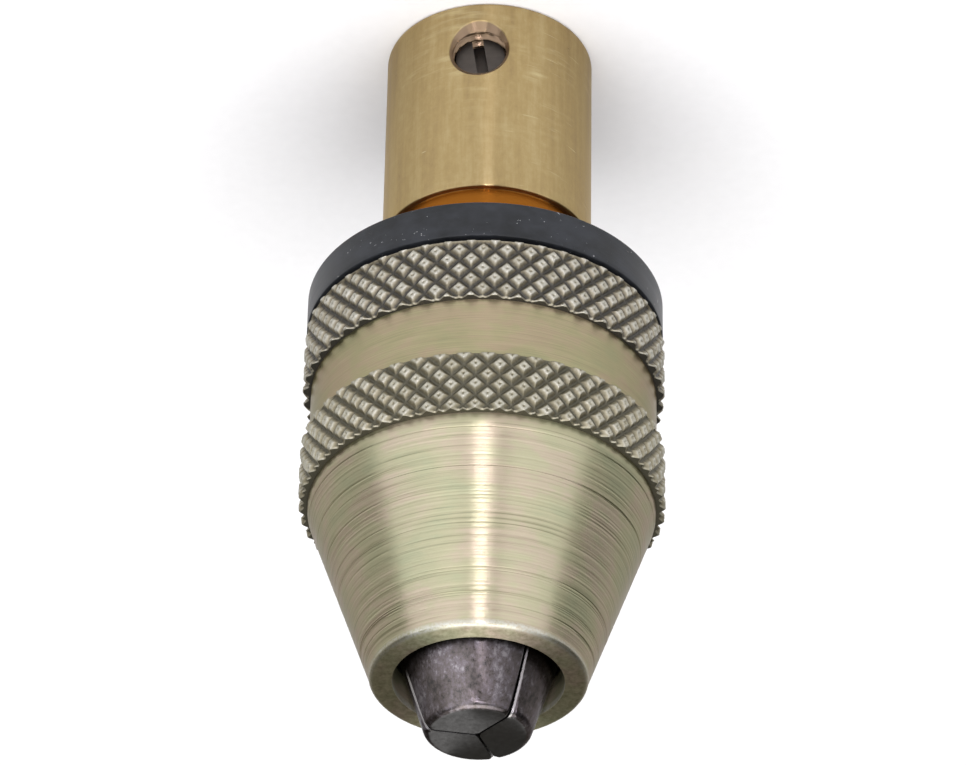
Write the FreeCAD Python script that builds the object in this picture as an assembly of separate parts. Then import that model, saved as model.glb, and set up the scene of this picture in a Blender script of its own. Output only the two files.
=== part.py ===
import FreeCAD, Part
import math
import os

# Small three-jaw drill chuck on a brass motor-shaft adaptor, in millimetres.
# The origin is the centre of the adaptor's rear face, and +Z runs along the spindle axis to the nose.

# Motor-shaft adaptor (brass)
ADAPTOR_R = 5.0
ADAPTOR_LENGTH = 11.07
ADAPTOR_CHAMFER = 0.25
NECK_R = 4.7
SHAFT_BORE_R = 1.6
SHAFT_BORE_DEPTH = 10.0
THREAD_CLEARANCE = 0.04

# Grub screw, M3 x 2.5, radial through the adaptor's wall
GRUB_NOMINAL_R = 1.5
GRUB_LENGTH = 2.5
GRUB_TIP_GAP = 0.02
GRUB_Z = 2.7
GRUB_AZIMUTH = -83.7
GRUB_SLOT_WIDTH = 0.6
GRUB_SLOT_DEPTH = 0.9
GRUB_SLOT_TILT = 10.5
GRUB_COUNTERSINK_R = 1.75

# Rear collar and spindle (steel)
COLLAR_R = 8.41
COLLAR_REAR_Z = 14.6
COLLAR_FRONT_Z = 16.5
COLLAR_EDGE = 0.25
SPINDLE_BOSS_R = 5.6
SPINDLE_R = 6.94
SPINDLE_FRONT_Z = 19.55
MOUNT_THREAD_R = 4.0
MOUNT_THREAD_DEPTH = 4.2

# Retaining ring between spindle and sleeve
RING_Z = 17.4
RING_THICKNESS = 0.6
RING_INNER_R = 6.35
RING_OUTER_R = 7.35
RING_PLAY = 0.06
RING_GAP_DEGREES = 24.0

# Sleeve: outside
SLEEVE_REAR_Z = 16.8
REAR_BAND_FRONT_Z = 19.9
FRONT_BAND_REAR_Z = 23.05
FRONT_BAND_FRONT_Z = 26.1
KNURL_R = 8.49
KNURL_EDGE = 0.3
BAND_R = 8.09
SHOULDER_Z = 26.65
CONE_REAR_Z = 26.95
CONE_REAR_R = 7.87
CONE_FRONT_Z = 35.0
CONE_FRONT_R = 4.99
NOSE_Z = 35.4
NOSE_FACE_R = 4.62

# Sleeve: inside
NOSE_OPENING_R = 3.9
SLEEVE_BORE_R = 7.0
JAW_ANGLE = 20.0
RELIEF_REAR_Z = 33.97

# Jaws: closed at rest
JAW_COUNT = 3
FIRST_JAW_AZIMUTH = -69.5
JAW_TIP_Z = 38.1
JAW_REAR_Z = 27.0
JAW_GUIDE_R = 5.2
JAW_SPLIT_GAP = 0.12
JAW_CENTRE_R = 0.15
JAW_TIP_EDGE = 0.22
JAW_SLEEVE_GAP = 0.06
TONGUE_INNER_R = 2.1
TONGUE_OUTER_R = 4.9
TONGUE_NECK_WIDTH = 1.8
TONGUE_HEAD_WIDTH = 3.0
TONGUE_NECK_HEIGHT = 0.95
TONGUE_HEAD_HEIGHT = 1.0
TONGUE_PLAY = 0.05

# Jaw carrier: pushed along the axis by the sleeve's internal thread
CARRIER_REAR_Z = 24.0
CARRIER_CENTRE_R = 1.75
CARRIER_SLOT_INNER_R = 2.0

# Drive pins that stop the carrier turning
PIN_R = 0.5
PIN_CIRCLE_R = 5.5
PIN_REAR_Z = 18.1
PIN_FRONT_Z = 25.2

# Springs that push the jaws apart
SPRING_WIRE_R = 0.12
SPRING_COIL_R = 0.52
SPRING_TURNS = 6
SPRING_CIRCLE_R = 3.2
SPRING_Z = 29.4
SPRING_POCKET_R = 0.72
SPRING_POCKET_DEPTH = 1.3
SPRING_END_GAP = 0.03

AXIS = FreeCAD.Vector(0, 0, 1)
CENTRE = FreeCAD.Vector(0, 0, 0)


def save(name, shape):
    shape.exportStep("parts/" + name + ".step")


def revolved(outline):
    """Solid of revolution about Z from a closed outline of (radius, z) corners."""
    corners = [FreeCAD.Vector(radius, 0, z) for radius, z in outline]
    face = Part.Face(Part.makePolygon(corners + corners[:1]))
    return face.revolve(CENTRE, AXIS, 360)


def disc(radius, low_z, high_z):
    return Part.makeCylinder(radius, high_z - low_z, FreeCAD.Vector(0, 0, low_z))


def ring(inner_r, outer_r, low_z, high_z):
    return disc(outer_r, low_z, high_z).cut(disc(inner_r, low_z, high_z))


def block(low, high):
    size = FreeCAD.Vector(*high) - FreeCAD.Vector(*low)
    return Part.makeBox(size.x, size.y, size.z, FreeCAD.Vector(*low))


def turned(shape, degrees):
    """A copy of a shape, turned about the Z axis."""
    copy = shape.copy()
    copy.rotate(CENTRE, AXIS, degrees)
    return copy


def jaw_azimuth(index):
    return FIRST_JAW_AZIMUTH + index * 360 / JAW_COUNT


def split_azimuth(index):
    return jaw_azimuth(index) + 180 / JAW_COUNT


def cone_r(z):
    """Radius of the sleeve's inner cone at a height."""
    return NOSE_OPENING_R + (RELIEF_REAR_Z - z) * math.tan(math.radians(JAW_ANGLE))


def cone_z(radius):
    """Height at which the sleeve's inner cone has a radius."""
    return RELIEF_REAR_Z - (radius - NOSE_OPENING_R) / math.tan(math.radians(JAW_ANGLE))


def grub_hole(radius, inner, outer):
    """A cylinder along the grub screw's axis, from one radius of the adaptor to another."""
    azimuth = math.radians(GRUB_AZIMUTH)
    outward = FreeCAD.Vector(math.cos(azimuth), math.sin(azimuth), 0)
    start = outward * inner + FreeCAD.Vector(0, 0, GRUB_Z)
    return Part.makeCylinder(radius, outer - inner, start, outward)


def shaft_adaptor():
    stub_r = MOUNT_THREAD_R - THREAD_CLEARANCE
    stub_z = COLLAR_REAR_Z + MOUNT_THREAD_DEPTH - 0.2
    body = revolved([
        (0, 0),
        (ADAPTOR_R - ADAPTOR_CHAMFER, 0),
        (ADAPTOR_R, ADAPTOR_CHAMFER),
        (ADAPTOR_R, ADAPTOR_LENGTH - ADAPTOR_CHAMFER),
        (ADAPTOR_R - ADAPTOR_CHAMFER, ADAPTOR_LENGTH),
        (NECK_R, ADAPTOR_LENGTH),
        (NECK_R, COLLAR_REAR_Z),
        (stub_r, COLLAR_REAR_Z),
        (stub_r, stub_z),
        (0, stub_z),
    ])
    body = body.cut(disc(SHAFT_BORE_R, 0, SHAFT_BORE_DEPTH))
    body = body.cut(grub_hole(GRUB_NOMINAL_R, 0, ADAPTOR_R))
    return body.cut(grub_hole(GRUB_COUNTERSINK_R, ADAPTOR_R - 0.25, ADAPTOR_R + 0.5))


def grub_screw():
    inner = SHAFT_BORE_R + GRUB_TIP_GAP
    outer = inner + GRUB_LENGTH
    body = Part.makeCylinder(GRUB_NOMINAL_R - THREAD_CLEARANCE, GRUB_LENGTH, FreeCAD.Vector(inner, 0, 0),
                             FreeCAD.Vector(1, 0, 0))
    slot = block((outer - GRUB_SLOT_DEPTH, -GRUB_SLOT_WIDTH / 2, -2), (outer + 1, GRUB_SLOT_WIDTH / 2, 2))
    slot.rotate(CENTRE, FreeCAD.Vector(1, 0, 0), GRUB_SLOT_TILT)
    screw = turned(body.cut(slot), GRUB_AZIMUTH)
    screw.translate(FreeCAD.Vector(0, 0, GRUB_Z))
    return screw


def rear_collar():
    return revolved([
        (SPINDLE_BOSS_R, COLLAR_REAR_Z),
        (COLLAR_R - COLLAR_EDGE, COLLAR_REAR_Z),
        (COLLAR_R, COLLAR_REAR_Z + COLLAR_EDGE),
        (COLLAR_R, COLLAR_FRONT_Z),
        (SPINDLE_BOSS_R, COLLAR_FRONT_Z),
    ])


def spindle():
    body = revolved([
        (0, COLLAR_REAR_Z),
        (SPINDLE_BOSS_R, COLLAR_REAR_Z),
        (SPINDLE_BOSS_R, COLLAR_FRONT_Z),
        (SPINDLE_R, COLLAR_FRONT_Z),
        (SPINDLE_R, SPINDLE_FRONT_Z),
        (0, SPINDLE_FRONT_Z),
    ])
    body = body.cut(disc(MOUNT_THREAD_R, COLLAR_REAR_Z, COLLAR_REAR_Z + MOUNT_THREAD_DEPTH))
    body = body.cut(disc(CARRIER_CENTRE_R, COLLAR_REAR_Z, SPINDLE_FRONT_Z))
    body = body.cut(ring(RING_INNER_R - RING_PLAY, SPINDLE_R + 1, RING_Z - RING_PLAY,
                         RING_Z + RING_THICKNESS + RING_PLAY))
    for index in range(JAW_COUNT):
        body = body.cut(drive_pin(index))
    return body


def retaining_ring():
    """A flat split ring: its gap lets it close up while it is fitted."""
    body = ring(RING_INNER_R, RING_OUTER_R, RING_Z, RING_Z + RING_THICKNESS)
    half_gap = RING_OUTER_R * math.tan(math.radians(RING_GAP_DEGREES / 2))
    return body.cut(block((0, -half_gap, RING_Z), (RING_OUTER_R, half_gap, RING_Z + RING_THICKNESS)))


def sleeve():
    body = revolved([
        (SLEEVE_BORE_R, SLEEVE_REAR_Z),
        (KNURL_R - KNURL_EDGE, SLEEVE_REAR_Z),
        (KNURL_R, SLEEVE_REAR_Z + KNURL_EDGE),
        (KNURL_R, REAR_BAND_FRONT_Z - KNURL_EDGE),
        (BAND_R, REAR_BAND_FRONT_Z),
        (BAND_R, FRONT_BAND_REAR_Z),
        (KNURL_R, FRONT_BAND_REAR_Z + KNURL_EDGE),
        (KNURL_R, FRONT_BAND_FRONT_Z - KNURL_EDGE),
        (BAND_R, FRONT_BAND_FRONT_Z),
        (BAND_R, SHOULDER_Z),
        (CONE_REAR_R, CONE_REAR_Z),
        (CONE_FRONT_R, CONE_FRONT_Z),
        (NOSE_FACE_R, NOSE_Z),
        (NOSE_OPENING_R, NOSE_Z),
        (NOSE_OPENING_R, RELIEF_REAR_Z),
        (SLEEVE_BORE_R, cone_z(SLEEVE_BORE_R)),
    ])
    return body.cut(ring(SLEEVE_BORE_R - 1, RING_OUTER_R + RING_PLAY, RING_Z - RING_PLAY,
                         RING_Z + RING_THICKNESS + RING_PLAY))


def jaw_blank():
    """The whole cone that the jaws are sawn from, a little smaller than the sleeve's inner cone."""
    tip_r = cone_r(JAW_TIP_Z) - JAW_SLEEVE_GAP
    edge_r = cone_r(JAW_TIP_Z - JAW_TIP_EDGE) - JAW_SLEEVE_GAP
    guide_r = JAW_GUIDE_R - JAW_SLEEVE_GAP
    return revolved([
        (0, JAW_REAR_Z),
        (guide_r, JAW_REAR_Z),
        (guide_r, cone_z(JAW_GUIDE_R)),
        (edge_r, JAW_TIP_Z - JAW_TIP_EDGE),
        (tip_r - JAW_TIP_EDGE, JAW_TIP_Z),
        (0, JAW_TIP_Z),
    ])


def jaw_sector():
    """A prism that keeps one jaw's third of the blank, less half the split on each side."""
    half_angle = math.radians(180 / JAW_COUNT)
    apex = JAW_SPLIT_GAP / 2 / math.sin(half_angle)
    reach = 4 * JAW_GUIDE_R
    corners = [
        FreeCAD.Vector(apex, 0, JAW_REAR_Z),
        FreeCAD.Vector(apex + reach * math.cos(half_angle), -reach * math.sin(half_angle), JAW_REAR_Z),
        FreeCAD.Vector(apex + reach * math.cos(half_angle), reach * math.sin(half_angle), JAW_REAR_Z),
    ]
    face = Part.Face(Part.makePolygon(corners + corners[:1]))
    return face.extrude(FreeCAD.Vector(0, 0, JAW_TIP_Z - JAW_REAR_Z))


def tee(inner_r, outer_r, play):
    """The T-shaped tongue along +X, or with play its keyway."""
    neck_z = JAW_REAR_Z - TONGUE_NECK_HEIGHT
    head_z = neck_z - TONGUE_HEAD_HEIGHT
    half_neck = TONGUE_NECK_WIDTH / 2 + play
    half_head = TONGUE_HEAD_WIDTH / 2 + play
    neck = block((inner_r, -half_neck, neck_z), (outer_r, half_neck, JAW_REAR_Z))
    head = block((inner_r, -half_head, head_z - play), (outer_r, half_head, neck_z + play))
    return neck.fuse(head)


def spring_axis_point(index, offset):
    """A point on a spring's axis: offset runs along the tangent at the split between two jaws."""
    azimuth = math.radians(split_azimuth(index))
    outward = FreeCAD.Vector(math.cos(azimuth), math.sin(azimuth), 0)
    return outward * SPRING_CIRCLE_R + tangent(index) * offset + AXIS * SPRING_Z


def tangent(index):
    azimuth = math.radians(split_azimuth(index))
    return FreeCAD.Vector(-math.sin(azimuth), math.cos(azimuth), 0)


def spring_pocket(index):
    half = SPRING_POCKET_DEPTH + JAW_SPLIT_GAP / 2
    return Part.makeCylinder(SPRING_POCKET_R, 2 * half, spring_axis_point(index, -half), tangent(index))


def jaw(index):
    body = jaw_blank().common(jaw_sector()).cut(disc(JAW_CENTRE_R, JAW_REAR_Z, JAW_TIP_Z))
    body = body.fuse(tee(TONGUE_INNER_R, TONGUE_OUTER_R, 0)).removeSplitter()
    body = turned(body, jaw_azimuth(index))
    return body.cut(spring_pocket(index)).cut(spring_pocket(index - 1))


def jaw_spring(index):
    """A compression spring of round wire, lying across the split between two jaws."""
    end_room = SPRING_WIRE_R + SPRING_END_GAP
    length = 2 * (SPRING_POCKET_DEPTH + JAW_SPLIT_GAP / 2 - end_room)
    helix = Part.makeHelix(length / SPRING_TURNS, length, SPRING_COIL_R)
    wire_end = Part.makeCircle(SPRING_WIRE_R, FreeCAD.Vector(SPRING_COIL_R, 0, 0), FreeCAD.Vector(0, 1, 0))
    coil = Part.Wire(helix).makePipeShell([Part.Wire(wire_end)], True, True)
    coil.translate(FreeCAD.Vector(0, 0, -length / 2))
    place = FreeCAD.Rotation(AXIS, tangent(index))
    coil.Placement = FreeCAD.Placement(spring_axis_point(index, 0), place).multiply(coil.Placement)
    return coil


def drive_pin(index):
    pin = Part.makeCylinder(PIN_R, PIN_FRONT_Z - PIN_REAR_Z, FreeCAD.Vector(PIN_CIRCLE_R, 0, PIN_REAR_Z))
    return turned(pin, split_azimuth(index))


def jaw_carrier():
    front_z = JAW_REAR_Z - TONGUE_PLAY
    body = revolved([
        (CARRIER_CENTRE_R, CARRIER_REAR_Z),
        (SPINDLE_R, CARRIER_REAR_Z),
        (SPINDLE_R, cone_z(SPINDLE_R + JAW_SLEEVE_GAP)),
        (cone_r(front_z) - JAW_SLEEVE_GAP, front_z),
        (CARRIER_CENTRE_R, front_z),
    ])
    keyway = tee(CARRIER_SLOT_INNER_R, SPINDLE_R + 1, TONGUE_PLAY)
    pin_hole = Part.makeCylinder(PIN_R + TONGUE_PLAY, JAW_REAR_Z, FreeCAD.Vector(PIN_CIRCLE_R, 0, 0))
    for index in range(JAW_COUNT):
        body = body.cut(turned(keyway, jaw_azimuth(index)))
        body = body.cut(turned(pin_hole, split_azimuth(index)))
    return body


os.makedirs("parts", exist_ok=True)
save("shaft_adaptor", shaft_adaptor())
save("grub_screw", grub_screw())
save("rear_collar", rear_collar())
save("spindle", spindle())
save("retaining_ring", retaining_ring())
save("sleeve", sleeve())
save("jaw_carrier", jaw_carrier())
for number in range(JAW_COUNT):
    save("drive_pin_" + str(number + 1), drive_pin(number))
    save("jaw_" + str(number + 1), jaw(number))
    save("jaw_spring_" + str(number + 1), jaw_spring(number))
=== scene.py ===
import math

import bmesh
import bpy
import numpy as np
from mathutils import Matrix, Quaternion, Vector


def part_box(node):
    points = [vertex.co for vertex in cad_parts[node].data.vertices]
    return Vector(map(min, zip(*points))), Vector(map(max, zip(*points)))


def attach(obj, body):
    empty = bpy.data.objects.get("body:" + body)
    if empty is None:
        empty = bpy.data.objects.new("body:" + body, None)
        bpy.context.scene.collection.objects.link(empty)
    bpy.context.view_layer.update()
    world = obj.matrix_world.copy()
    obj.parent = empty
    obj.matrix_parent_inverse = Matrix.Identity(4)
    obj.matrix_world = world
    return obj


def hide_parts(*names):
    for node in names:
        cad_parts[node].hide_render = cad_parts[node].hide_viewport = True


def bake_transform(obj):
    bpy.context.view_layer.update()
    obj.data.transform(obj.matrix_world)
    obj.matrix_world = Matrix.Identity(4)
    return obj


# Looks for a small drill chuck on a brass adaptor. Lengths are in millimetres until a mesh is made;
# azimuths are in degrees from +X, and heights follow the frame's Z, from the adaptor's rear to the nose.
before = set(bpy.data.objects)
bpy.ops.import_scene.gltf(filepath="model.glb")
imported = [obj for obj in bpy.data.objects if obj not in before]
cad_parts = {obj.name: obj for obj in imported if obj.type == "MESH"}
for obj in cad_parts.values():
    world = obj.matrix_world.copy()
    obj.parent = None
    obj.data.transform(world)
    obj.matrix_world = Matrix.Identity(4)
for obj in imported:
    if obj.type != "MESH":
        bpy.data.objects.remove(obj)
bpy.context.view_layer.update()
MM = 0.001


def heights(node):
    """The lowest and highest point of a CAD node."""
    low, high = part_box(node)
    return low.z / MM, high.z / MM


def outer_radius(node):
    """The radius of a CAD node that is round about the Z axis."""
    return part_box(node)[1].x / MM


# Sizes read from the frame
ADAPTOR_R = outer_radius("shaft_adaptor")
COLLAR_R = outer_radius("rear_collar")
KNURL_R = outer_radius("sleeve")
COLLAR_REAR, COLLAR_FRONT = heights("rear_collar")
SLEEVE_REAR, NOSE = heights("sleeve")
ADAPTOR_FRONT = heights("shaft_adaptor")[1]
JAW_TIP = heights("jaw_1")[1]

# Adaptor
ADAPTOR_STEP = 11.07
NECK_R = 4.7
STUB_R = 3.96
ADAPTOR_EDGE = 0.2
STEP_EDGE = 0.08
NECK_FILLET = 0.05
STUB_CHAMFER = 0.3
SHAFT_BORE_R = 1.6
SHAFT_BORE_DEPTH = 10.0
SHAFT_BORE_CHAMFER = 0.15
GRUB_AZIMUTH = -83.7
GRUB_HEIGHT = 2.75
GRUB_INNER = 1.62
GRUB_OUTER = 4.1
GRUB_PITCH = 0.5
GRUB_MAJOR_R = 1.5
GRUB_MINOR_R = 1.27
GRUB_EDGE = 0.07
GRUB_SLOT_TILT = -8.5
GRUB_SLOT_DEPTH = 0.8
GRUB_SLOT_HALF_WIDTH = 0.27
COUNTERSINK_DEPTH = 0.42
THREAD_CUT_START = 0.4
THREAD_CUT_BEYOND = 0.6
THREAD_CUT_STEP = 0.03
THREAD_FADE = 0.1

# Collar
COLLAR_BORE_R = 5.6
COLLAR_FACE_R = 6.5
COLLAR_REAR_EDGE = 0.07
COLLAR_FRONT_EDGE = 0.06

# Sleeve
BAND_R = 8.09
BAND_CORE_R = 8.03
REAR_BAND = (SLEEVE_REAR, 19.9)
FRONT_BAND = (23.05, 26.1)
SHOULDER_ROUND = 0.8
SHOULDER_START = 26.356
CONE_END = 35.02
CONE_SLOPE = 0.3571
CONE_ANGLE = math.degrees(math.atan(CONE_SLOPE))
CONE_END_R = 4.985
NOSE_FACE_R = 4.62
NOSE_ROUND = 0.30
NOSE_OPENING_R = 3.9
OPENING_ROUND = 0.04
SLEEVE_BORE_R = 7.0
RELIEF_REAR = 33.97
INNER_CONE_REAR = 25.45
RING_GROOVE_R = 7.41
RING_GROOVE = (17.34, 18.06)
FEED_MARK = 0.0021
TOOL_LINE_COUNT = 46
TOOL_LINE_DEPTH = (0.004, 0.012)
TOOL_LINE_LIP = 0.003

# Knurl. A slope is where it starts and how wide it is, in shares of the distance between two grooves.
KNURL_COUNT = 48
KNURL_PITCH = 1.09
KNURL_DEPTH = 0.24
KNURL_FLANK = (0.045, 0.26)
KNURL_CREST = (0.35, 0.05)
KNURL_DIMPLE = (0.43, 0.03)
KNURL_CREST_DROP = 0.10
KNURL_DIMPLE_DROP = 0.30
KNURL_UNEVEN = 0.12
KNURL_UNEVEN_WAVES = (2.4, 5.1)
KNURL_GRAIN = 0.005
KNURL_STEPS = 20
KNURL_LIP = 0.045
# A painted highlight on the worn front lip of a knurled band
KNURL_LIP_HIGHLIGHT = 0.70
# Painted shade on the walls at both ends of a knurled band
KNURL_WALL_SHADE = 0.05
# Name, low and high, rear bevel, depth of the rear run-out, phase round and along the axis
KNURLED_BANDS = (
    ("knurl_rear", REAR_BAND, 0.05, 0.10, (-0.125, -0.325)),
    ("knurl_front", FRONT_BAND, 0.10, 0.20, (0.15, 0.29)),
)

# Jaws
JAW_AZIMUTHS = (-69.5, 50.5, 170.5)
HALF_JAW = 60
JAW_REAR = 27.0
JAW_ANGLE = 20.0
JAW_NOSE_ANGLE = 17.5
JAW_TIP_ROUND = 0.40
JAW_GUIDE_R = 5.14
JAW_CLEARANCE = 0.06
JAW_RELIEF_STEP = 0.12
JAW_SPLIT = 0.12
JAW_INNER_FLAT = 0.14
JAW_REAR_BEVEL = 0.06
JAW_TIP_BEVEL = 0.19
TONGUE_REACH = (2.1, 4.9)
TONGUE_NECK_HALF = 0.9
TONGUE_HEAD_HALF = 1.5
TONGUE_NECK_Z = 26.05
TONGUE_HEAD_Z = 25.05
POCKET_R = 0.72
POCKET_DEPTH = 1.3

# Springs. Each wire is thinner along its spring than across it; a half spring's stretch runs from the split
# between two jaws to SPRING_STRETCH_END.
SPRING_CIRCLE_R = 3.2
SPRING_HEIGHT = 29.4
SPRING_COIL_R = 0.52
SPRING_WIRE_R = 0.12
SPRING_FLAT_HALF = 0.055
SPRING_HALF_TURNS = 3
SPRING_REACH = 1.21
SPRING_STRETCH_END = 0.9

# Studio and camera, in metres and degrees
AIM = Vector((0, 0.0007, 0.0184))
FLOOR_HALF = 1.5
# Name, azimuth, elevation, distance, width, height, power, colour
LIGHTS = (
    ("left_box", -42, 22, 0.7, 0.78, 0.50, 2.35, (0.98, 1.0, 1.11)),
    ("right_box", 42, 22, 0.7, 0.68, 0.50, 1.85, (0.98, 1.0, 1.11)),
    ("front_lamp", 0, 18, 0.9, 0.011, 0.12, 1.75, (1.0, 0.96, 1.10)),
    ("top_box", 0, 75, 0.9, 0.9, 0.7, 8.5, (1.0, 1.0, 1.0)),
)
CAMERA_ELEVATION = 34.86
CAMERA_DISTANCE = 0.2316
CAMERA_ROLL = 181.06
CAMERA_LENS = 182.75
CAMERA_SENSOR = 36

SHARP_DEGREES = 32
X_AXIS, Y_AXIS, Z_AXIS = (1, 0, 0), (0, 1, 0), (0, 0, 1)
random = np.random.default_rng(11)


# ---------------------------------------------------------------- meshes

def solid(name, points, faces, sharp_degrees=SHARP_DEGREES):
    """An object from points in millimetres: outward normals, smooth faces, sharp edges at real corners."""
    mesh = bpy.data.meshes.new(name)
    mesh.from_pydata((np.reshape(points, (-1, 3)) * MM).tolist(), [], faces)
    work = bmesh.new()
    work.from_mesh(mesh)
    bmesh.ops.remove_doubles(work, verts=work.verts, dist=1e-7)
    bmesh.ops.recalc_face_normals(work, faces=work.faces)
    work.to_mesh(mesh)
    work.free()
    mesh.shade_smooth()
    mesh.set_sharp_from_angle(angle=math.radians(sharp_degrees))
    piece = bpy.data.objects.new(name, mesh)
    bpy.context.scene.collection.objects.link(piece)
    return piece


def ring_faces(rows, segments, closed):
    """Quads of a grid that is periodic round the axis, and along its outline if closed."""
    last = rows if closed else rows - 1
    row = np.arange(last)[:, None]
    column = np.arange(segments)[None, :]
    following = (column + 1) % segments
    upper = (row + 1) % rows
    corners = (row * segments + column, row * segments + following,
               upper * segments + following, upper * segments + column)
    return np.stack([np.broadcast_to(c, (last, segments)) for c in corners], -1).reshape(-1, 4).tolist()


def tube_faces(rows, segments):
    """The quads of a grid that is periodic round the axis, and a cap at each end."""
    first = list(range(segments))
    caps = [first[::-1], [(rows - 1) * segments + i for i in first]]
    return ring_faces(rows, segments, closed=False) + caps


def surface(name, radius, height, closed=True, sharp_degrees=SHARP_DEGREES):
    """A turned piece from arrays of radius and height, one row per outline point."""
    rows, segments = radius.shape
    azimuth = azimuths(segments)
    points = np.stack([radius * np.cos(azimuth), radius * np.sin(azimuth), height], -1)
    return solid(name, points, ring_faces(rows, segments, closed), sharp_degrees)


def azimuths(segments):
    """Evenly spaced angles round the axis, in radians."""
    return np.arange(segments) * 2 * math.pi / segments


def around(outline, segments):
    """Arrays of radius and height for an outline of (radius, height) points."""
    outline = np.array(outline, float)
    return np.repeat(outline[:, :1], segments, 1), np.repeat(outline[:, 1:], segments, 1)


def lathe(name, outline, segments=256, closed=True):
    """A turned piece from an outline of (radius, height) points."""
    radius, height = around(outline, segments)
    return surface(name, radius, height, closed)


def arc(centre, radius, start, end, steps=6):
    """Points of an outline's round corner, with angles in degrees from the radial direction."""
    angles = np.radians(np.linspace(start, end, steps + 1))
    return [(centre[0] + radius * math.cos(a), centre[1] + radius * math.sin(a)) for a in angles]


def line(start, end, steps):
    """Points of an outline's straight stretch, without its last point."""
    shares = np.linspace(0, 1, steps + 1)[:-1]
    return [tuple(np.add(np.multiply(start, 1 - s), np.multiply(end, s))) for s in shares]


def cut(piece, cutter, operation="DIFFERENCE"):
    """Takes the cutter's volume out of the piece, or adds it with UNION. The cutter is used up."""
    modifier = piece.modifiers.new("cut", "BOOLEAN")
    modifier.object = cutter
    modifier.operation = operation
    modifier.solver = "EXACT"
    bpy.context.view_layer.update()
    made = bpy.data.meshes.new_from_object(piece.evaluated_get(bpy.context.evaluated_depsgraph_get()))
    piece.modifiers.clear()
    piece.data = made
    bpy.data.objects.remove(cutter)
    made.shade_smooth()
    made.set_sharp_from_angle(angle=math.radians(SHARP_DEGREES))


def rotate(piece, axis, degrees):
    """Turns a piece's mesh about an axis through the origin."""
    piece.data.transform(Quaternion(axis, math.radians(degrees)).to_matrix().to_4x4())


def move(piece, offset):
    """Moves a piece's mesh by an offset in millimetres."""
    piece.data.transform(Matrix.Translation(Vector(offset) * MM))


def along_grub(piece):
    """Turns a piece made along Z, so that its Z runs outwards along the grub screw's axis."""
    rotate(piece, Y_AXIS, 90)
    rotate(piece, Z_AXIS, GRUB_AZIMUTH)
    move(piece, (0, 0, GRUB_HEIGHT))


# ---------------------------------------------------------------- materials

class Nodes:
    """A material's or world's node tree, with short calls to add and join its nodes."""

    def __init__(self, owner):
        owner.use_nodes = True
        self.owner = owner
        self.tree = owner.node_tree
        self.tree.nodes.clear()

    def add(self, kind, inputs=None, **settings):
        """A new node. Each input is a value, or another node's output to join to it."""
        made = self.tree.nodes.new("ShaderNode" + kind)
        for key, value in settings.items():
            setattr(made, key, value)
        for key, value in (inputs or {}).items():
            if isinstance(value, bpy.types.NodeSocket):
                self.tree.links.new(value, made.inputs[key])
            else:
                made.inputs[key].default_value = value
        return made

    def place(self, scale):
        """The point on the piece in millimetres, times a scale for each axis."""
        at = self.add("TexCoord").outputs["Object"]
        stretch = tuple(s / MM for s in scale)
        return self.add("VectorMath", {0: at, 1: stretch}, operation="MULTIPLY").outputs[0]

    def position(self):
        """X, Y and height on the piece, in millimetres."""
        return tuple(self.add("SeparateXYZ", {0: self.place((1, 1, 1))}).outputs)

    def reach(self):
        """The distance from the Z axis, in millimetres."""
        return self.add("VectorMath", {0: self.place((1, 1, 0))}, operation="LENGTH").outputs["Value"]

    def noise(self, scale, detail, roughness):
        """Noise from 0 to 1 with so many features per millimetre along each axis."""
        inputs = {"Vector": self.place(scale), "Scale": 1.0, "Detail": detail, "Roughness": roughness}
        return self.add("TexNoise", inputs).outputs["Fac"]

    def span(self, value, low, high, to_low=0.0, to_high=1.0):
        """Maps a value from one range to another, clamped."""
        inputs = {"Value": value, "From Min": low, "From Max": high, "To Min": to_low, "To Max": to_high}
        return self.add("MapRange", inputs).outputs[0]

    def math(self, operation, first, second=0.0):
        """One operation of the Math node."""
        return self.add("Math", {0: first, 1: second}, operation=operation).outputs[0]

    def times(self, first, second):
        """The product of two values."""
        return self.math("MULTIPLY", first, second)

    def plus(self, first, second, share=1.0):
        """The first value plus a share of the second."""
        return self.math("ADD", first, second if share == 1.0 else self.times(second, share))

    def mix(self, factor, first, second, blend="MIX"):
        """A blend of two colours; sockets 6 and 7 are the node's colour inputs, and output 2 its colour."""
        inputs = {0: factor, 6: first, 7: second}
        return self.add("Mix", inputs, data_type="RGBA", blend_type=blend).outputs[2]

    def ramp(self, value, stops):
        """A colour ramp from (position, colour) stops."""
        made = self.add("ValToRGB", {"Fac": value})
        elements = made.color_ramp.elements
        while len(elements) < len(stops):
            elements.new(0.5)
        for element, (position, colour) in zip(elements, stops):
            element.position = position
            element.color = (*colour, 1)
        return made.outputs["Color"]

    def bump(self, height, depth_mm):
        """A normal that follows a height from 0 to 1."""
        inputs = {"Height": height, "Distance": depth_mm * MM, "Strength": 1.0}
        return self.add("Bump", inputs).outputs[0]

    def turned(self, strength):
        """Shader inputs for highlights drawn out by a lathe's marks round the Z axis."""
        round_axis = self.add("Tangent", direction_type="RADIAL", axis="Z").outputs[0]
        return {"Anisotropic": strength, "Anisotropic_Rotation": 0.25, "Tangent": round_axis}

    def finish(self, **inputs):
        """Adds the Principled shader and the output, and returns the material. Names use _ for a space."""
        named = {key.replace("_", " "): value for key, value in inputs.items()}
        shader = self.add("BsdfPrincipled", named)
        self.add("OutputMaterial", {"Surface": shader.outputs[0]})
        return self.owner


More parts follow.
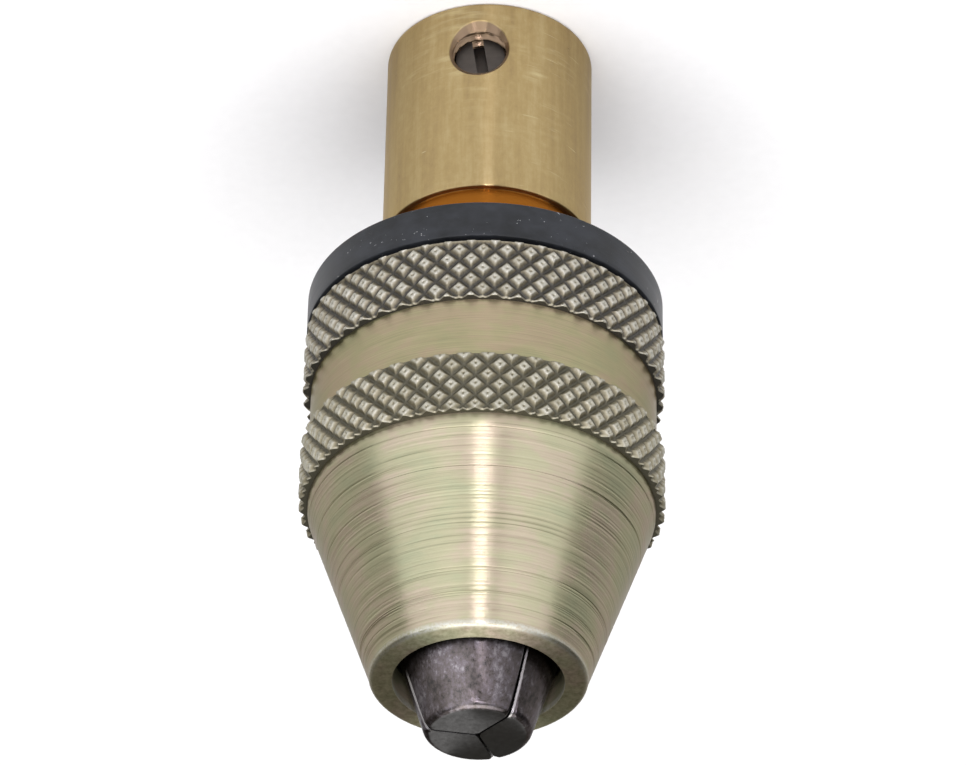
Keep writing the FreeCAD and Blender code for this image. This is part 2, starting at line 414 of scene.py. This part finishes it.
def knurled_plate():
    """Yellow chromate on the knurl: painted shade in the valleys, and pale where the diamonds are rubbed.
    """
    n = Nodes(bpy.data.materials.new("knurled_plate"))
    grain = n.noise((9.0, 9.0, 9.0), 3, 0.6)
    wear = n.noise((2.2, 2.2, 2.2), 3, 0.6)
    # The attribute also holds a painted highlight on the front lip and painted shade on the band's walls
    depth = n.add("Attribute", attribute_name="knurl_height_and_shade").outputs["Fac"]
    level = n.plus(depth, n.math("SUBTRACT", n.plus(grain, wear), 1.0), 0.5)
    # Darker towards the valleys: painted shade
    tone = n.ramp(level, [
        (0.08, (0.080, 0.076, 0.066)),
        (0.40, (0.195, 0.170, 0.118)),
        (0.68, (0.300, 0.276, 0.210)),
        (0.90, (0.430, 0.415, 0.355)),
    ])
    front = n.span(n.position()[2], REAR_BAND[1], FRONT_BAND[0])
    tone = n.mix(n.times(front, 0.14), tone, (0.31, 0.290, 0.15, 1))
    rough = n.span(level, 0, 1, 0.62, 0.46)
    return n.finish(Base_Color=tone, Metallic=1.0, Roughness=rough, Normal=n.bump(grain, 0.014))


def plated():
    """Yellow chromate over zinc: pale olive gold with pink and green tints, turned all round."""
    n = Nodes(bpy.data.materials.new("plated_steel"))
    patches = n.noise((0.30, 0.30, 0.55), 4, 0.6)
    lines = n.noise((0.10, 0.10, 9.0), 4, 0.6)
    fine = n.noise((0.35, 0.35, 26.0), 2, 0.6)
    grain = n.noise((9.0, 9.0, 9.0), 3, 0.6)
    spots = n.noise((3.5, 3.5, 3.5), 4, 0.7)
    height = n.position()[2]
    tint = n.ramp(n.plus(n.times(patches, 0.8), lines, 0.2), [
        (0.36, (0.345, 0.350, 0.215)),
        (0.45, (0.375, 0.358, 0.222)),
        (0.50, (0.392, 0.362, 0.234)),
        (0.56, (0.418, 0.350, 0.252)),
        (0.66, (0.380, 0.360, 0.228)),
    ])
    dark_lines = n.ramp(lines, [
        (0.30, (0.58, 0.56, 0.52)),
        (0.44, (0.90, 0.90, 0.90)),
        (0.70, (1.0, 1.0, 1.0)),
    ])
    brushed = n.ramp(fine, [(0.3, (0.70, 0.66, 0.58)), (0.7, (0.90, 0.86, 0.76))])
    blotches = n.ramp(spots, [(0.36, (0.84, 0.84, 0.84)), (0.64, (1.30, 1.30, 1.42))])
    cone = n.span(height, *FRONT_BAND)
    face = n.span(height, NOSE - 0.08, NOSE - 0.01)
    marks = n.mix(face, n.mix(cone, brushed, dark_lines), blotches)
    colour = n.mix(1.0, tint, marks, "MULTIPLY")
    # A painted highlight round the nose's rounded edge
    rim_highlight = n.times(n.span(height, NOSE - 0.36, NOSE - 0.20), n.span(height, NOSE - 0.05, NOSE, 1, 0))
    colour = n.mix(n.times(rim_highlight, n.span(grain, 0.3, 0.6)), colour, (0.47, 0.465, 0.40, 1))
    metal = n.span(n.reach(), NOSE_OPENING_R + 0.004, NOSE_OPENING_R + 0.012, 0.45, 1.0)
    rough = n.plus(n.span(n.plus(lines, grain, 0.5), 0.4, 1.1, 0.29, 0.42), face, 0.20)
    normal = n.bump(n.plus(fine, grain, 0.8), 0.0034)
    return n.finish(Base_Color=colour, Metallic=metal, Roughness=rough, Normal=normal,
                    Specular_Tint=(0.42, 0.38, 0.34, 1), Coat_Weight=0.35, Coat_Roughness=0.30,
                    Coat_IOR=1.6, Coat_Normal=normal, **n.turned(0.78))


def brass():
    """Pale turned brass with streaks and smudges, glints painted on scratches, brown in the tapped hole,
    and painted deep orange shade and reflection in the neck.
    """
    n = Nodes(bpy.data.materials.new("brass"))
    lines = n.noise((0.12, 0.12, 12.0), 4, 0.65)
    mottle = n.noise((3.0, 3.0, 2.2), 5, 0.7)
    streaks = n.noise((1.3, 1.3, 0.09), 4, 0.65)
    grain = n.noise((6.5, 6.5, 4.5), 2, 0.6)
    height = n.position()[2]
    reach = n.reach()
    tint = n.ramp(n.plus(n.times(streaks, 0.65), mottle, 0.35), [
        (0.34, (0.296, 0.214, 0.104)),
        (0.50, (0.368, 0.273, 0.126)),
        (0.66, (0.436, 0.340, 0.172)),
    ])
    # Pale dashes: glints on fine scratches, painted into the colour
    scratch_glints = n.times(n.span(n.noise((0.40, 0.40, 11.0), 2, 0.5), 0.68, 0.76),
                     n.span(n.noise((0.8, 0.8, 0.8), 2, 0.5), 0.50, 0.60))
    tint = n.mix(scratch_glints, tint, (0.55, 0.47, 0.28, 1))
    smudges = n.times(n.span(n.noise((0.28, 0.28, 2.4), 4, 0.65), 0.50, 0.72),
                      n.span(n.noise((0.55, 0.55, 0.55), 2, 0.5), 0.46, 0.62))
    smudges = n.times(smudges, n.span(height, 3.5, 7.0, 0.85, 0.20))
    tint = n.mix(smudges, tint, (0.54, 0.45, 0.25, 1))
    under_skin = n.times(n.span(reach, ADAPTOR_R - 0.07, ADAPTOR_R - 0.02, 1, 0), n.span(reach, 1.7, 1.9))
    by_hole = n.times(n.span(height, 0.6, 0.7), n.span(height, 5.0, 5.1, 1, 0))
    tint = n.mix(n.times(under_skin, by_hole), tint, (0.235, 0.165, 0.105, 1))
    # Painted shade and reflection: the neck between the step and the collar is painted deep orange
    neck = n.span(height, ADAPTOR_STEP - 0.05, ADAPTOR_STEP + 0.02)
    colour = n.mix(neck, tint, (0.265, 0.094, 0.012, 1))
    rough = n.span(n.plus(mottle, streaks), 0.7, 1.3, 0.27, 0.36)
    normal = n.bump(n.plus(grain, lines, 0.4), 0.0075)
    return n.finish(Base_Color=colour, Metallic=1.0, Roughness=rough, Normal=normal,
                    Specular_Tint=(0.85, 0.78, 0.68, 1), **n.turned(0.92))


def black_oxide():
    """Satin blue-black oxide with small pale specks where it has chipped."""
    n = Nodes(bpy.data.materials.new("black_oxide"))
    lines = n.noise((0.15, 0.15, 10.0), 3, 0.6)
    cloud = n.noise((0.6, 0.6, 0.9), 3, 0.6)
    specks = n.noise((5.5, 5.5, 8.0), 3, 0.6)
    worn = n.span(n.noise((0.5, 0.5, 1.2), 2, 0.5), 0.45, 0.70, 0.0, 0.09)
    chipped = n.span(n.plus(specks, worn), 0.74, 0.78)
    tint = n.ramp(cloud, [(0.35, (0.011, 0.012, 0.013)), (0.65, (0.022, 0.024, 0.028))])
    colour = n.mix(chipped, tint, (0.55, 0.55, 0.55, 1))
    rough = n.span(n.plus(lines, cloud), 0.6, 1.4, 0.34, 0.48)
    normal = n.bump(n.plus(lines, n.noise((12, 12, 12), 2, 0.5)), 0.002)
    return n.finish(Base_Color=colour, Roughness=rough, Normal=normal, Specular_IOR_Level=0.23,
                    **n.turned(0.5))


def hardened():
    """Heat-treated jaw steel: a mottled purple-brown bloom, with painted highlights down each jaw's middle
    and on its bevels, and painted shade by the splits and inside the nose.
    """
    n = Nodes(bpy.data.materials.new("hardened_steel"))
    bloom = n.noise((0.9, 0.9, 0.5), 3, 0.6)
    spots = n.noise((5.5, 5.5, 4.0), 4, 0.7)
    lines = n.noise((0.6, 0.6, 14.0), 2, 0.6)
    x, y, height = n.position()
    tint = n.ramp(n.plus(n.times(bloom, 0.45), spots, 0.55), [
        (0.38, (0.056, 0.052, 0.050)),
        (0.46, (0.092, 0.079, 0.075)),
        (0.54, (0.118, 0.103, 0.109)),
        (0.62, (0.225, 0.208, 0.212)),
    ])
    # 1 along the middle of each jaw and -1 along each split
    azimuth = n.math("SUBTRACT", n.math("ARCTAN2", y, x), math.radians(JAW_AZIMUTHS[0]))
    middle = n.math("COSINE", n.times(azimuth, 3.0))
    # Painted highlight down each jaw's middle and painted shade towards the splits
    tint = n.mix(1.0, tint, n.span(middle, -1, 1, 0.52, 1.42), "MULTIPLY")
    # The angle to the nearest split is about the root of 2/9 of (middle + 1)
    split_angle = n.math("SQRT", n.times(n.plus(middle, 1.0), 2 / 9))
    # Painted highlight on the bevels along the splits
    bevel = n.span(n.times(n.reach(), split_angle), 0.12, 0.15, 1, 0)
    tint = n.mix(bevel, tint, (0.23, 0.22, 0.215, 1))
    # Painted shade on the jaws where they go into the nose
    tint = n.mix(n.span(height, NOSE - 0.40, NOSE - 0.15), (0.018, 0.016, 0.014, 1), tint)
    end = n.span(height, JAW_TIP - 0.03, JAW_TIP - 0.005)
    ground = n.ramp(spots, [(0.3, (0.105, 0.103, 0.101)), (0.7, (0.140, 0.138, 0.135))])
    colour = n.mix(end, tint, ground)
    rough = n.plus(n.span(spots, 0.3, 0.7, 0.25, 0.37), end, 0.22)
    normal = n.bump(n.plus(spots, lines, 0.5), 0.0045)
    return n.finish(Base_Color=colour, Metallic=1.0, Roughness=rough, Normal=normal,
                    Specular_Tint=(0.45, 0.45, 0.45, 1), **n.turned(0.68))


def plain_steel(name, colour, roughness):
    """Steel of the hidden pieces, with tool marks and a little stain."""
    n = Nodes(bpy.data.materials.new(name))
    lines = n.noise((0.4, 0.4, 8.0), 3, 0.6)
    stain = n.noise((0.7, 0.7, 0.7), 3, 0.6)
    dark = tuple(c * 0.7 for c in colour)
    tint = n.ramp(stain, [(0.3, dark), (0.7, colour)])
    rough = n.span(lines, 0.3, 0.7, roughness - 0.06, roughness + 0.08)
    normal = n.bump(n.plus(lines, stain), 0.003)
    return n.finish(Base_Color=tint, Metallic=1.0, Roughness=rough, Normal=normal)


def floor_paper():
    """Matt white paper for the floor."""
    n = Nodes(bpy.data.materials.new("floor_paper"))
    fibre = n.noise((1.5, 1.5, 1.5), 3, 0.6)
    tint = n.ramp(fibre, [(0.3, (0.92, 0.92, 0.92)), (0.7, (0.94, 0.94, 0.94))])
    return n.finish(Base_Color=tint, Roughness=0.9, Normal=n.bump(fibre, 0.004))


# ---------------------------------------------------------------- pieces

def dress(piece, body, slot, material, *nodes):
    """Gives a piece its material and body; the slot argument is not used. It stands for the CAD nodes
    named.
    """
    piece.data.materials.clear()
    piece.data.materials.append(material)
    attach(piece, body)
    if nodes:
        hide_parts(*nodes)


def slope(value, start, width):
    """Rises from 0 to 1 as the value passes over a width."""
    return np.clip((value - start) / width, 0, 1)


def knurl(azimuth, height, phase):
    """The knurl's height above its valleys, from 0 to 1: wide grooves and uneven, dimpled diamonds."""
    across = azimuth * KNURL_COUNT / (2 * math.pi) + phase[0]
    along = height / KNURL_PITCH + phase[1]
    first = across + along
    second = across - along
    to_groove = np.minimum(abs(first - np.round(first)), abs(second - np.round(second)))
    waves = np.floor(first) * KNURL_UNEVEN_WAVES[0] + np.floor(second) * KNURL_UNEVEN_WAVES[1]
    uneven = 1 + KNURL_UNEVEN * np.sin(waves)
    raised = np.clip(slope(to_groove, *KNURL_FLANK) * uneven, 0, 1)
    crest = KNURL_CREST_DROP * slope(to_groove, *KNURL_CREST)
    dimple = KNURL_DIMPLE_DROP * slope(to_groove, *KNURL_DIMPLE)
    return raised - crest - dimple


def knurled_band(name, band, rear_bevel, rear_depth, phase):
    """A ring with a diamond knurl, which meets the sleeve's core inside. It has a worn lip at the front
    with a painted highlight, and painted shade on its walls.
    """
    low, high = band
    segments = KNURL_COUNT * KNURL_STEPS
    last = high - KNURL_LIP
    rows = int(round((last - low) * KNURL_STEPS / KNURL_PITCH)) + 1
    across, level = np.meshgrid(azimuths(segments), np.linspace(low, last, rows))
    radius = KNURL_R - KNURL_DEPTH * (1 - knurl(across, level, phase))
    radius -= abs(random.normal(0, KNURL_GRAIN, radius.shape))
    radius = np.maximum(radius, KNURL_R - rear_depth - (level - low))
    radius = np.minimum(radius, KNURL_R - np.clip(rear_bevel - (level - low), 0, None))
    tone = slope(radius, KNURL_R - KNURL_DEPTH, KNURL_DEPTH)
    # Painted highlight on the worn front lip
    tone[-1:] = np.maximum(tone[-1:], KNURL_LIP_HIGHLIGHT)
    inner = np.full((1, segments), BAND_CORE_R - 0.05)
    lip = radius[-1:] - KNURL_LIP
    front = np.full((1, segments), high)
    # Painted shade on the band's walls
    dark = np.full((1, segments), KNURL_WALL_SHADE)
    radius = np.concatenate([inner, radius, lip, lip - 0.01, inner])
    height = np.concatenate([level[:1], level, front, front, front])
    tone = np.concatenate([dark, tone, dark + KNURL_LIP_HIGHLIGHT, dark, dark])
    ring = surface(name, radius, height, sharp_degrees=50)
    attribute = ring.data.attributes.new("knurl_height_and_shade", "FLOAT", "POINT")
    attribute.data.foreach_set("value", tone.astype(np.float32).ravel())
    return ring


def turning_marks(levels, azimuth):
    """Small changes of radius along a turned surface: a fine feed mark and some deeper tool lines."""
    fine = random.normal(0, FEED_MARK, len(levels))
    deep = np.zeros(len(levels))
    for row in random.integers(2, len(levels) - 2, TOOL_LINE_COUNT):
        deep[row] -= random.uniform(*TOOL_LINE_DEPTH)
        deep[row + 1] += random.uniform(0, TOOL_LINE_LIP)
    phase = random.uniform(0, 2 * math.pi, len(levels))[:, None]
    return (fine + deep)[:, None] * (1 + 0.5 * np.sin(azimuth[None, :] + phase))


def sleeve_core():
    """The sleeve without its knurl: smooth band, shoulder, turned cone and open nose."""
    segments = 256
    cone_rows = 230
    under = BAND_CORE_R - 0.01
    shoulder = arc((BAND_CORE_R - SHOULDER_ROUND, SHOULDER_START), SHOULDER_ROUND, 0, CONE_ANGLE)
    levels = np.linspace(shoulder[-1][1], CONE_END, cone_rows)[1:]
    cone = [(CONE_END_R + (CONE_END - z) * CONE_SLOPE, z) for z in levels]
    before = [
        (SLEEVE_BORE_R, SLEEVE_REAR),
        (under, SLEEVE_REAR),
        (under, REAR_BAND[1] - 0.08),
        (BAND_R, REAR_BAND[1] - 0.02),
        *line((BAND_R, REAR_BAND[1]), (BAND_R, FRONT_BAND[0] - 0.06), 12),
        (BAND_R, FRONT_BAND[0] - 0.06),
        (under, FRONT_BAND[0] + 0.02),
        (under, FRONT_BAND[1] - 0.05),
        *shoulder,
    ]
    after = [
        *arc((NOSE_FACE_R + 0.06, NOSE - NOSE_ROUND), NOSE_ROUND, 22, 90, 8),
        *line((NOSE_FACE_R - 0.05, NOSE), (NOSE_OPENING_R + 0.05, NOSE), 4),
        *arc((NOSE_OPENING_R + OPENING_ROUND, NOSE - OPENING_ROUND), OPENING_ROUND, 90, 180, 3),
        (NOSE_OPENING_R, RELIEF_REAR),
        (SLEEVE_BORE_R, INNER_CONE_REAR),
        (SLEEVE_BORE_R, RING_GROOVE[1]),
        (RING_GROOVE_R, RING_GROOVE[1]),
        (RING_GROOVE_R, RING_GROOVE[0]),
        (SLEEVE_BORE_R, RING_GROOVE[0]),
    ]
    radius, height = around(before + cone + after, segments)
    start = len(before)
    radius[start:start + len(cone)] += turning_marks(levels, azimuths(segments))
    return surface("sleeve_core", radius, height)


def collar():
    """The black ring at the rear, rounded at both edges."""
    rear, front = COLLAR_REAR_EDGE, COLLAR_FRONT_EDGE
    return lathe("black_collar", [
        (COLLAR_BORE_R, COLLAR_REAR),
        (COLLAR_FACE_R, COLLAR_REAR),
        *arc((COLLAR_R - rear, COLLAR_REAR + rear), rear, -90, 0),
        *line((COLLAR_R, COLLAR_REAR + rear + 0.1), (COLLAR_R, COLLAR_FRONT - 0.1), 8),
        *arc((COLLAR_R - front, COLLAR_FRONT - front), front, 0, 90, 3),
        (COLLAR_FACE_R, COLLAR_FRONT),
        (COLLAR_BORE_R, COLLAR_FRONT),
    ])


def thread_cutter():
    """The tapped and countersunk hole, along Z from the adaptor's axis outwards."""
    segments = 96
    countersink = ADAPTOR_R - COUNTERSINK_DEPTH
    levels = np.arange(THREAD_CUT_START, ADAPTOR_R + THREAD_CUT_BEYOND, THREAD_CUT_STEP)
    level, turn = np.meshgrid(levels, np.arange(segments) / segments, indexing="ij")
    share = (level / GRUB_PITCH - turn) % 1.0
    ridge = np.clip(1.6 - 3.2 * abs(share - 0.5), 0, 1)
    ridge *= slope(-level, -countersink, THREAD_FADE)
    radius = GRUB_MINOR_R + (GRUB_MAJOR_R - GRUB_MINOR_R) * ridge
    radius = np.maximum(radius, GRUB_MINOR_R + level - countersink)
    tip = np.full((1, segments), 1e-6)
    radius = np.concatenate([tip, radius, tip])
    height = np.concatenate([level[:1], level, level[-1:]])
    cutter = surface("thread_cutter", radius, height, closed=False)
    along_grub(cutter)
    return cutter


def adaptor():
    """The brass bush with its bore, step, neck, stub and tapped hole."""
    edge = ADAPTOR_EDGE
    piece = lathe("brass_adaptor", [
        (0, SHAFT_BORE_DEPTH),
        (SHAFT_BORE_R, SHAFT_BORE_DEPTH),
        (SHAFT_BORE_R, SHAFT_BORE_CHAMFER),
        (SHAFT_BORE_R + SHAFT_BORE_CHAMFER, 0),
        (3.4, 0),
        *arc((ADAPTOR_R - edge, edge), edge, -90, 0, 5),
        *line((ADAPTOR_R, 0.4), (ADAPTOR_R, ADAPTOR_STEP - 0.3), 24),
        *arc((ADAPTOR_R - STEP_EDGE, ADAPTOR_STEP - STEP_EDGE), STEP_EDGE, 0, 90, 3),
        (NECK_R + NECK_FILLET, ADAPTOR_STEP),
        (NECK_R, ADAPTOR_STEP + NECK_FILLET),
        *line((NECK_R, ADAPTOR_STEP + 0.3), (NECK_R, COLLAR_REAR), 8),
        (NECK_R, COLLAR_REAR),
        (STUB_R, COLLAR_REAR),
        (STUB_R, ADAPTOR_FRONT - STUB_CHAMFER),
        (STUB_R - STUB_CHAMFER, ADAPTOR_FRONT),
        (0, ADAPTOR_FRONT),
    ], 288, closed=False)
    cut(piece, thread_cutter())
    return piece


def grub_screw():
    """A slotted grub screw, made along Z and turned to its place."""
    face_r = GRUB_MINOR_R - 0.03
    edge = GRUB_EDGE
    outline = [(0, GRUB_INNER), (GRUB_MINOR_R - 0.25, GRUB_INNER)]
    for level in np.arange(GRUB_INNER + 0.3, GRUB_OUTER - 0.45, GRUB_PITCH):
        outline += [(GRUB_MINOR_R - 0.02, level), (GRUB_MAJOR_R - 0.05, level + GRUB_PITCH / 2)]
    outline += [(face_r + 0.02, GRUB_OUTER - 0.12)]
    outline += arc((face_r - edge, GRUB_OUTER - edge), edge, 0, 90, 4)
    outline += [(0.6, GRUB_OUTER), (0, GRUB_OUTER)]
    piece = lathe("slotted_grub_screw", outline, 96, closed=False)
    half_length, half_width = 2, GRUB_SLOT_HALF_WIDTH
    corners = [(-half_length, -half_width), (half_length, -half_width),
               (half_length, half_width), (-half_length, half_width)]
    levels = (GRUB_OUTER - GRUB_SLOT_DEPTH, GRUB_OUTER + 0.5)
    slot = solid("slot_cutter", [(x, y, z) for z in levels for x, y in corners], tube_faces(2, 4))
    rotate(slot, Z_AXIS, -GRUB_SLOT_TILT)
    cut(piece, slot)
    along_grub(piece)
    return piece


def jaw_row(radius, bevel):
    """One section of a jaw whose middle points along +X: its flat sides, bevels and round back."""
    half = math.radians(HALF_JAW)
    apex = JAW_SPLIT / 2 / math.sin(half)
    side = np.array([math.cos(half), math.sin(half)])
    reach = math.sqrt(radius ** 2 - (JAW_SPLIT / 2) ** 2) - apex * math.cos(half)
    corner = np.array([apex, 0]) + side * reach
    turn = math.atan2(corner[1], corner[0]) - bevel / radius
    sides = [np.array([apex, 0]) + side * t for t in np.linspace(JAW_INNER_FLAT, reach - bevel, 6)]
    back = [radius * np.array([math.cos(a), math.sin(a)]) for a in np.linspace(turn, 0, 13)]
    upper = sides + back
    lower = [p * (1, -1) for p in reversed(upper[:-1])]
    return np.array(upper + lower)


def jaw_tongue():
    """The T-shaped tongue on the rear of a jaw whose middle points along +X."""
    half = [
        (TONGUE_HEAD_HALF, TONGUE_HEAD_Z),
        (TONGUE_HEAD_HALF, TONGUE_NECK_Z),
        (TONGUE_NECK_HALF, TONGUE_NECK_Z),
        (TONGUE_NECK_HALF, JAW_REAR + 0.3),
    ]
    profile = half + [(-y, z) for y, z in reversed(half)]
    points = [(x, y, z) for x in TONGUE_REACH for y, z in profile]
    return solid("tongue", points, tube_faces(2, len(profile)))


def spring_pocket(side):
    """A round hole across the split on one side of a jaw whose middle points along +X."""
    half = POCKET_DEPTH + JAW_SPLIT / 2
    outline = [(0, -half), (POCKET_R, -half), (POCKET_R, half), (0, half)]
    pocket = lathe("pocket", outline, 32, closed=False)
    rotate(pocket, X_AXIS, 90)
    move(pocket, (SPRING_CIRCLE_R, 0, SPRING_HEIGHT))
    rotate(pocket, Z_AXIS, side * HALF_JAW)
    return pocket


def jaw(index):
    """One jaw: a third of a cone that fits the sleeve's nose, with its tongue and two spring pockets."""
    cone = math.tan(math.radians(JAW_ANGLE))
    nose_cone = math.tan(math.radians(JAW_NOSE_ANGLE))
    opening_r = NOSE_OPENING_R - JAW_CLEARANCE
    guide_z = RELIEF_REAR - (JAW_GUIDE_R - opening_r) / cone
    tip_z = JAW_TIP - JAW_TIP_ROUND
    tip_r = opening_r + (RELIEF_REAR - tip_z) * cone
    tip = arc((tip_r - JAW_TIP_ROUND, tip_z), JAW_TIP_ROUND, JAW_NOSE_ANGLE, 90, 8)
    start_r, start = tip[0]
    rows = [(JAW_GUIDE_R, JAW_REAR), (JAW_GUIDE_R, guide_z)]
    rows += [(opening_r + JAW_RELIEF_STEP * cone, RELIEF_REAR - JAW_RELIEF_STEP)]
    rows += [(start_r + (start - z) * nose_cone, z) for z in np.linspace(RELIEF_REAR, start, 24)[:-1]]
    rows += tip
    points = []
    for radius, z in rows:
        share = max(0, (z - RELIEF_REAR) / (JAW_TIP - RELIEF_REAR))
        bevel = JAW_REAR_BEVEL + (JAW_TIP_BEVEL - JAW_REAR_BEVEL) * share ** 3
        points += [(x, y, z) for x, y in jaw_row(radius, bevel)]
    faces = tube_faces(len(rows), len(points) // len(rows))
    piece = solid("split_jaw_" + str(index + 1), points, faces, 24)
    cut(piece, jaw_tongue(), "UNION")
    for side in (-1, 1):
        cut(piece, spring_pocket(side))
    rotate(piece, Z_AXIS, JAW_AZIMUTHS[index])
    return piece


def half_spring(index, side):
    """Half of a coil spring, from the split between two jaws into one jaw's pocket.

    The wire is thin along the spring, so that it looks about round when the jaws stretch it. The two
    points returned with the piece are in metres, where its stretch starts and ends.
    """
    rows, corners = 97, 12
    share = np.linspace(0, 1, rows)[:, None]
    corner = azimuths(corners)[None, :]
    turn = side * share * SPRING_HALF_TURNS * 2 * math.pi
    reach = SPRING_COIL_R + SPRING_WIRE_R * np.cos(corner)
    along = side * SPRING_REACH * share + SPRING_FLAT_HALF * np.sin(corner)
    split = math.radians(JAW_AZIMUTHS[index] + HALF_JAW)
    outward = np.array((math.cos(split), math.sin(split), 0.0))
    tangent = np.array((-math.sin(split), math.cos(split), 0.0))
    centre = outward * SPRING_CIRCLE_R + np.array((0.0, 0.0, SPRING_HEIGHT))
    points = centre + (reach * np.cos(turn))[..., None] * outward + along[..., None] * tangent
    points[..., 2] -= reach * np.sin(turn)
    name = "spring_" + str(index + 1) + ("_left" if side < 0 else "_right")
    piece = solid(name, points, tube_faces(rows, corners), 60)
    end = centre + tangent * side * SPRING_STRETCH_END
    return piece, tuple((centre * MM).tolist()), tuple((end * MM).tolist())


def jaw_springs(material):
    """Each spring in two halves, with the spring material, in place of its hidden CAD node."""
    count = len(JAW_AZIMUTHS)
    for index in range(count):
        for side in (-1, 1):
            piece, start, end = half_spring(index, side)
            piece.data.materials.append(material)
            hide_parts("jaw_spring_" + str(index + 1))
            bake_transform(piece)


def build_object():
    """Every piece that gets a finer shape than its CAD node."""
    dress(sleeve_core(), "sleeve", "plated_steel", plated(), "sleeve")
    knurled = knurled_plate()
    for band in KNURLED_BANDS:
        dress(knurled_band(*band), "sleeve", "plated_steel", knurled)
    dress(collar(), "spindle", "black_oxide", black_oxide(), "rear_collar")
    dress(adaptor(), "spindle", "brass", brass(), "shaft_adaptor")
    screw_steel = plain_steel("screw_steel", (0.100, 0.088, 0.078), 0.44)
    dress(grub_screw(), "grub_screw", "dark_steel", screw_steel, "grub_screw")
    jaw_steel = hardened()
    for index in range(len(JAW_AZIMUTHS)):
        name = "jaw_" + str(index + 1)
        dress(jaw(index), name, "hardened_steel", jaw_steel, name)


def dress_hidden_pieces(spring_steel):
    """The CAD pieces inside keep their shapes and get a finish."""
    turned_steel = plain_steel("turned_steel", (0.50, 0.50, 0.51), 0.34)
    for name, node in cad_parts.items():
        if not node.hide_render:
            node.data.materials.clear()
            node.data.materials.append(spring_steel if name == "retaining_ring" else turned_steel)


# ---------------------------------------------------------------- studio

def direction(azimuth, elevation):
    """A unit vector; azimuth 0 is towards the camera's side, -Y, and positive goes towards -X."""
    a, e = math.radians(azimuth), math.radians(elevation)
    return Vector((-math.sin(a) * math.cos(e), -math.cos(a) * math.cos(e), math.sin(e)))


def softbox(name, azimuth, elevation, distance, width, height, power, colour):
    """A rectangular lamp that faces the object."""
    light = bpy.data.lights.new(name, "AREA")
    light.shape = "RECTANGLE"
    light.size = width
    light.size_y = height
    light.energy = power
    light.color = colour
    lamp = bpy.data.objects.new(name, light)
    lamp.location = AIM + direction(azimuth, elevation) * distance
    lamp.rotation_mode = "QUATERNION"
    lamp.rotation_quaternion = (AIM - lamp.location).to_track_quat("-Z", "Y")
    bpy.context.scene.collection.objects.link(lamp)


def studio():
    """The floor, the tent round it and the lamps."""
    half = FLOOR_HALF
    corners = [(-half, -half, 0), (half, -half, 0), (half, half, 0), (-half, half, 0)]
    mesh = bpy.data.meshes.new("floor")
    mesh.from_pydata(corners, [], [(0, 1, 2, 3)])
    mesh.materials.append(floor_paper())
    floor = bpy.data.objects.new("floor", mesh)
    bpy.context.scene.collection.objects.link(floor)
    bpy.context.scene.world = tent()
    for light in LIGHTS:
        softbox(*light)


def tent():
    """A white tent: brighter at the horizon, dimmer above, with a dark gap on the right."""
    n = Nodes(bpy.data.worlds.new("tent"))
    toward = n.add("TexCoord").outputs["Generated"]
    rise = n.add("SeparateXYZ", {0: toward}).outputs["Z"]
    horizon = n.span(rise, 0.05, 0.35, 0.52, 0.17)
    gap_side = tuple(direction(104, 12))
    gap = n.add("VectorMath", {0: toward, 1: gap_side}, operation="DOT_PRODUCT").outputs["Value"]
    strength = n.times(horizon, n.span(gap, 0.86, 0.97, 1.0, 0.05))
    background = n.add("Background", {"Color": (1.0, 0.94, 0.83, 1), "Strength": strength})
    n.add("OutputWorld", {"Surface": background.outputs[0]})
    return n.owner


def camera():
    """The camera at the viewing angle that was worked out from the object's outline."""
    data = bpy.data.cameras.new("camera")
    data.lens = CAMERA_LENS
    data.sensor_width = CAMERA_SENSOR
    data.clip_start = 0.01
    eye = bpy.data.objects.new("camera", data)
    eye.location = AIM + direction(0, CAMERA_ELEVATION) * CAMERA_DISTANCE
    eye.rotation_mode = "QUATERNION"
    roll = Quaternion(Z_AXIS, math.radians(CAMERA_ROLL))
    eye.rotation_quaternion = (AIM - eye.location).to_track_quat("-Z", "Y") @ roll
    bpy.context.scene.collection.objects.link(eye)
    bpy.context.scene.camera = eye


build_object()
drawn_steel = plain_steel("spring_steel", (0.36, 0.36, 0.38), 0.30)
jaw_springs(drawn_steel)
dress_hidden_pieces(drawn_steel)
studio()
camera()
bpy.context.scene.view_settings.view_transform = "Standard"
